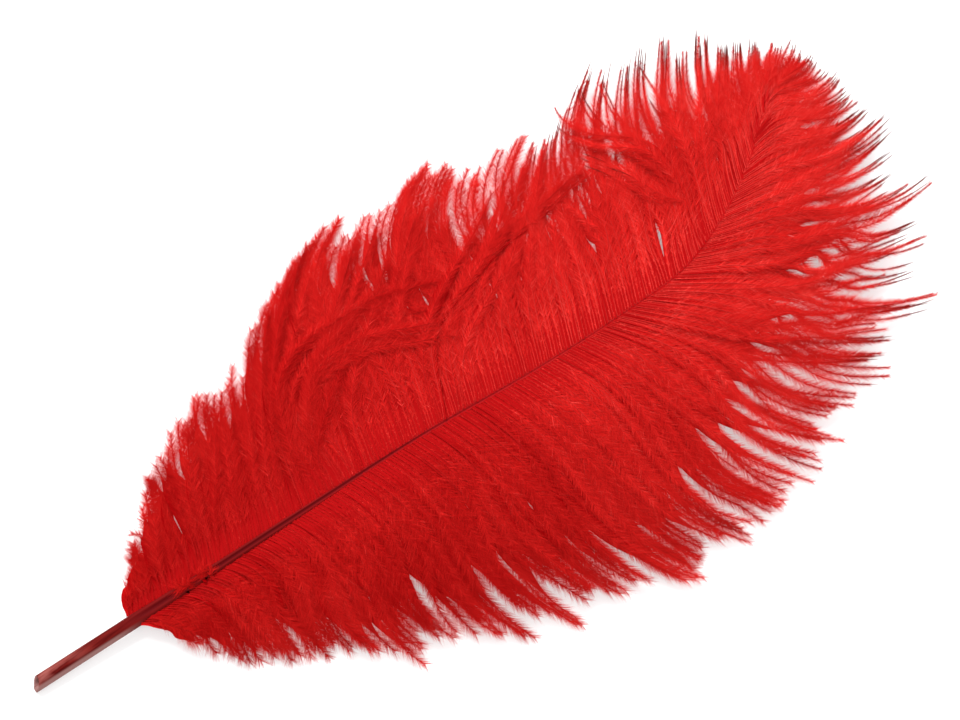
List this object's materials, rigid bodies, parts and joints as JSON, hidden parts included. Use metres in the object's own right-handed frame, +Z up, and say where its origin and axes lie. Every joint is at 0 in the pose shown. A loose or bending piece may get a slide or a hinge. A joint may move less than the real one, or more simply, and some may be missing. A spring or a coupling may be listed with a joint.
{
  "type": "ostrich feather",
  "caption": "Dyed ostrich plume lying flat: a tapering hollow quill and shaft with a broad, soft, fluffy vane along each side.",
  "frame": {"origin": "middle of the plume's outline seen from above, on the surface that it lies on", "axes": "+X along the plume from the cut quill to the tip, +Y towards the left vane, +Z up out of the surface"},
  "size_m": [0.3589, 0.178, 0.0109],
  "materials": {
    "shaft_horn": "dyed keratin horn, satin, darker in its groove and paler at the cut quill",
    "down": "dyed red barbs with loose soft barbules, matte, light shines through the edges"
  },
  "bodies": {
    "root": {"shaft": "shaft_horn", "left_vane": "down", "right_vane": "down"}
  },
  "joints": []
}
